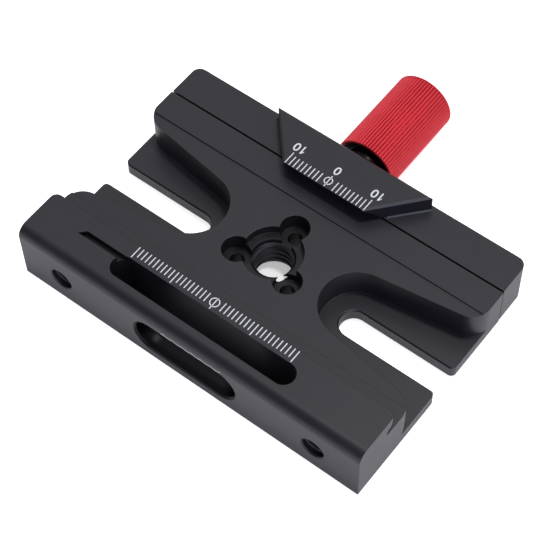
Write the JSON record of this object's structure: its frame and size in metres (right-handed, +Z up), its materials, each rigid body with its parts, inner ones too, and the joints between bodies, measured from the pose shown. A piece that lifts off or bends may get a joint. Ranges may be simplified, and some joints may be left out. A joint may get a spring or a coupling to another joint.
{
  "type": "dovetail quick release clamp",
  "caption": "Black screw-knob clamp for dovetail camera plates, with a long fixed jaw, a sliding jaw bar, open end slots and a red grip knob.",
  "frame": {"origin": "on the axis of the middle mounting thread, at the clamp body's bottom face", "axes": "+X along the jaws, +Y from the fixed jaw towards the knob, +Z up through the thread towards the plate"},
  "size_m": [0.0856, 0.0836, 0.0171],
  "materials": {
    "black_anodised": "satin black anodised",
    "red_anodised": "satin red anodised",
    "ground_steel": "ground",
    "spring_steel": "drawn wire",
    "black_steel": "black oxide",
    "bearing_brass": "turned"
  },
  "bodies": {
    "base": {"clamp_body": "black_anodised", "thread_sleeve": "ground_steel", "travel_stop_screws": "black_steel", "opening_spring_left": "spring_steel", "opening_spring_right": "spring_steel"},
    "jaw": {"moving_jaw": "black_anodised", "guide_pin_left": "ground_steel", "guide_pin_right": "ground_steel", "flat_washer": "bearing_brass", "dished_washer": "spring_steel"},
    "grip": {"knob": "red_anodised", "clamp_screw": "ground_steel", "screw_clip": "spring_steel", "knob_end_screw": "black_steel"}
  },
  "joints": [
    {"name": "jaw_slide", "type": "slide", "parent": "base", "child": "jaw", "axis": [0, 1, 0], "range_m": [-0.0003, 0.005], "deforming": ["opening_spring_left", "opening_spring_right"]},
    {"name": "knob_turn", "type": "hinge", "parent": "jaw", "child": "grip", "pos_m": [0, 0, 0.0052], "axis": [0, 1, 0], "range_deg": [-108, 1800]}
  ],
  "couplings": [
    {"joint": "knob_turn", "follows": "jaw_slide", "rad_per_m": 6283.2}
  ]
}
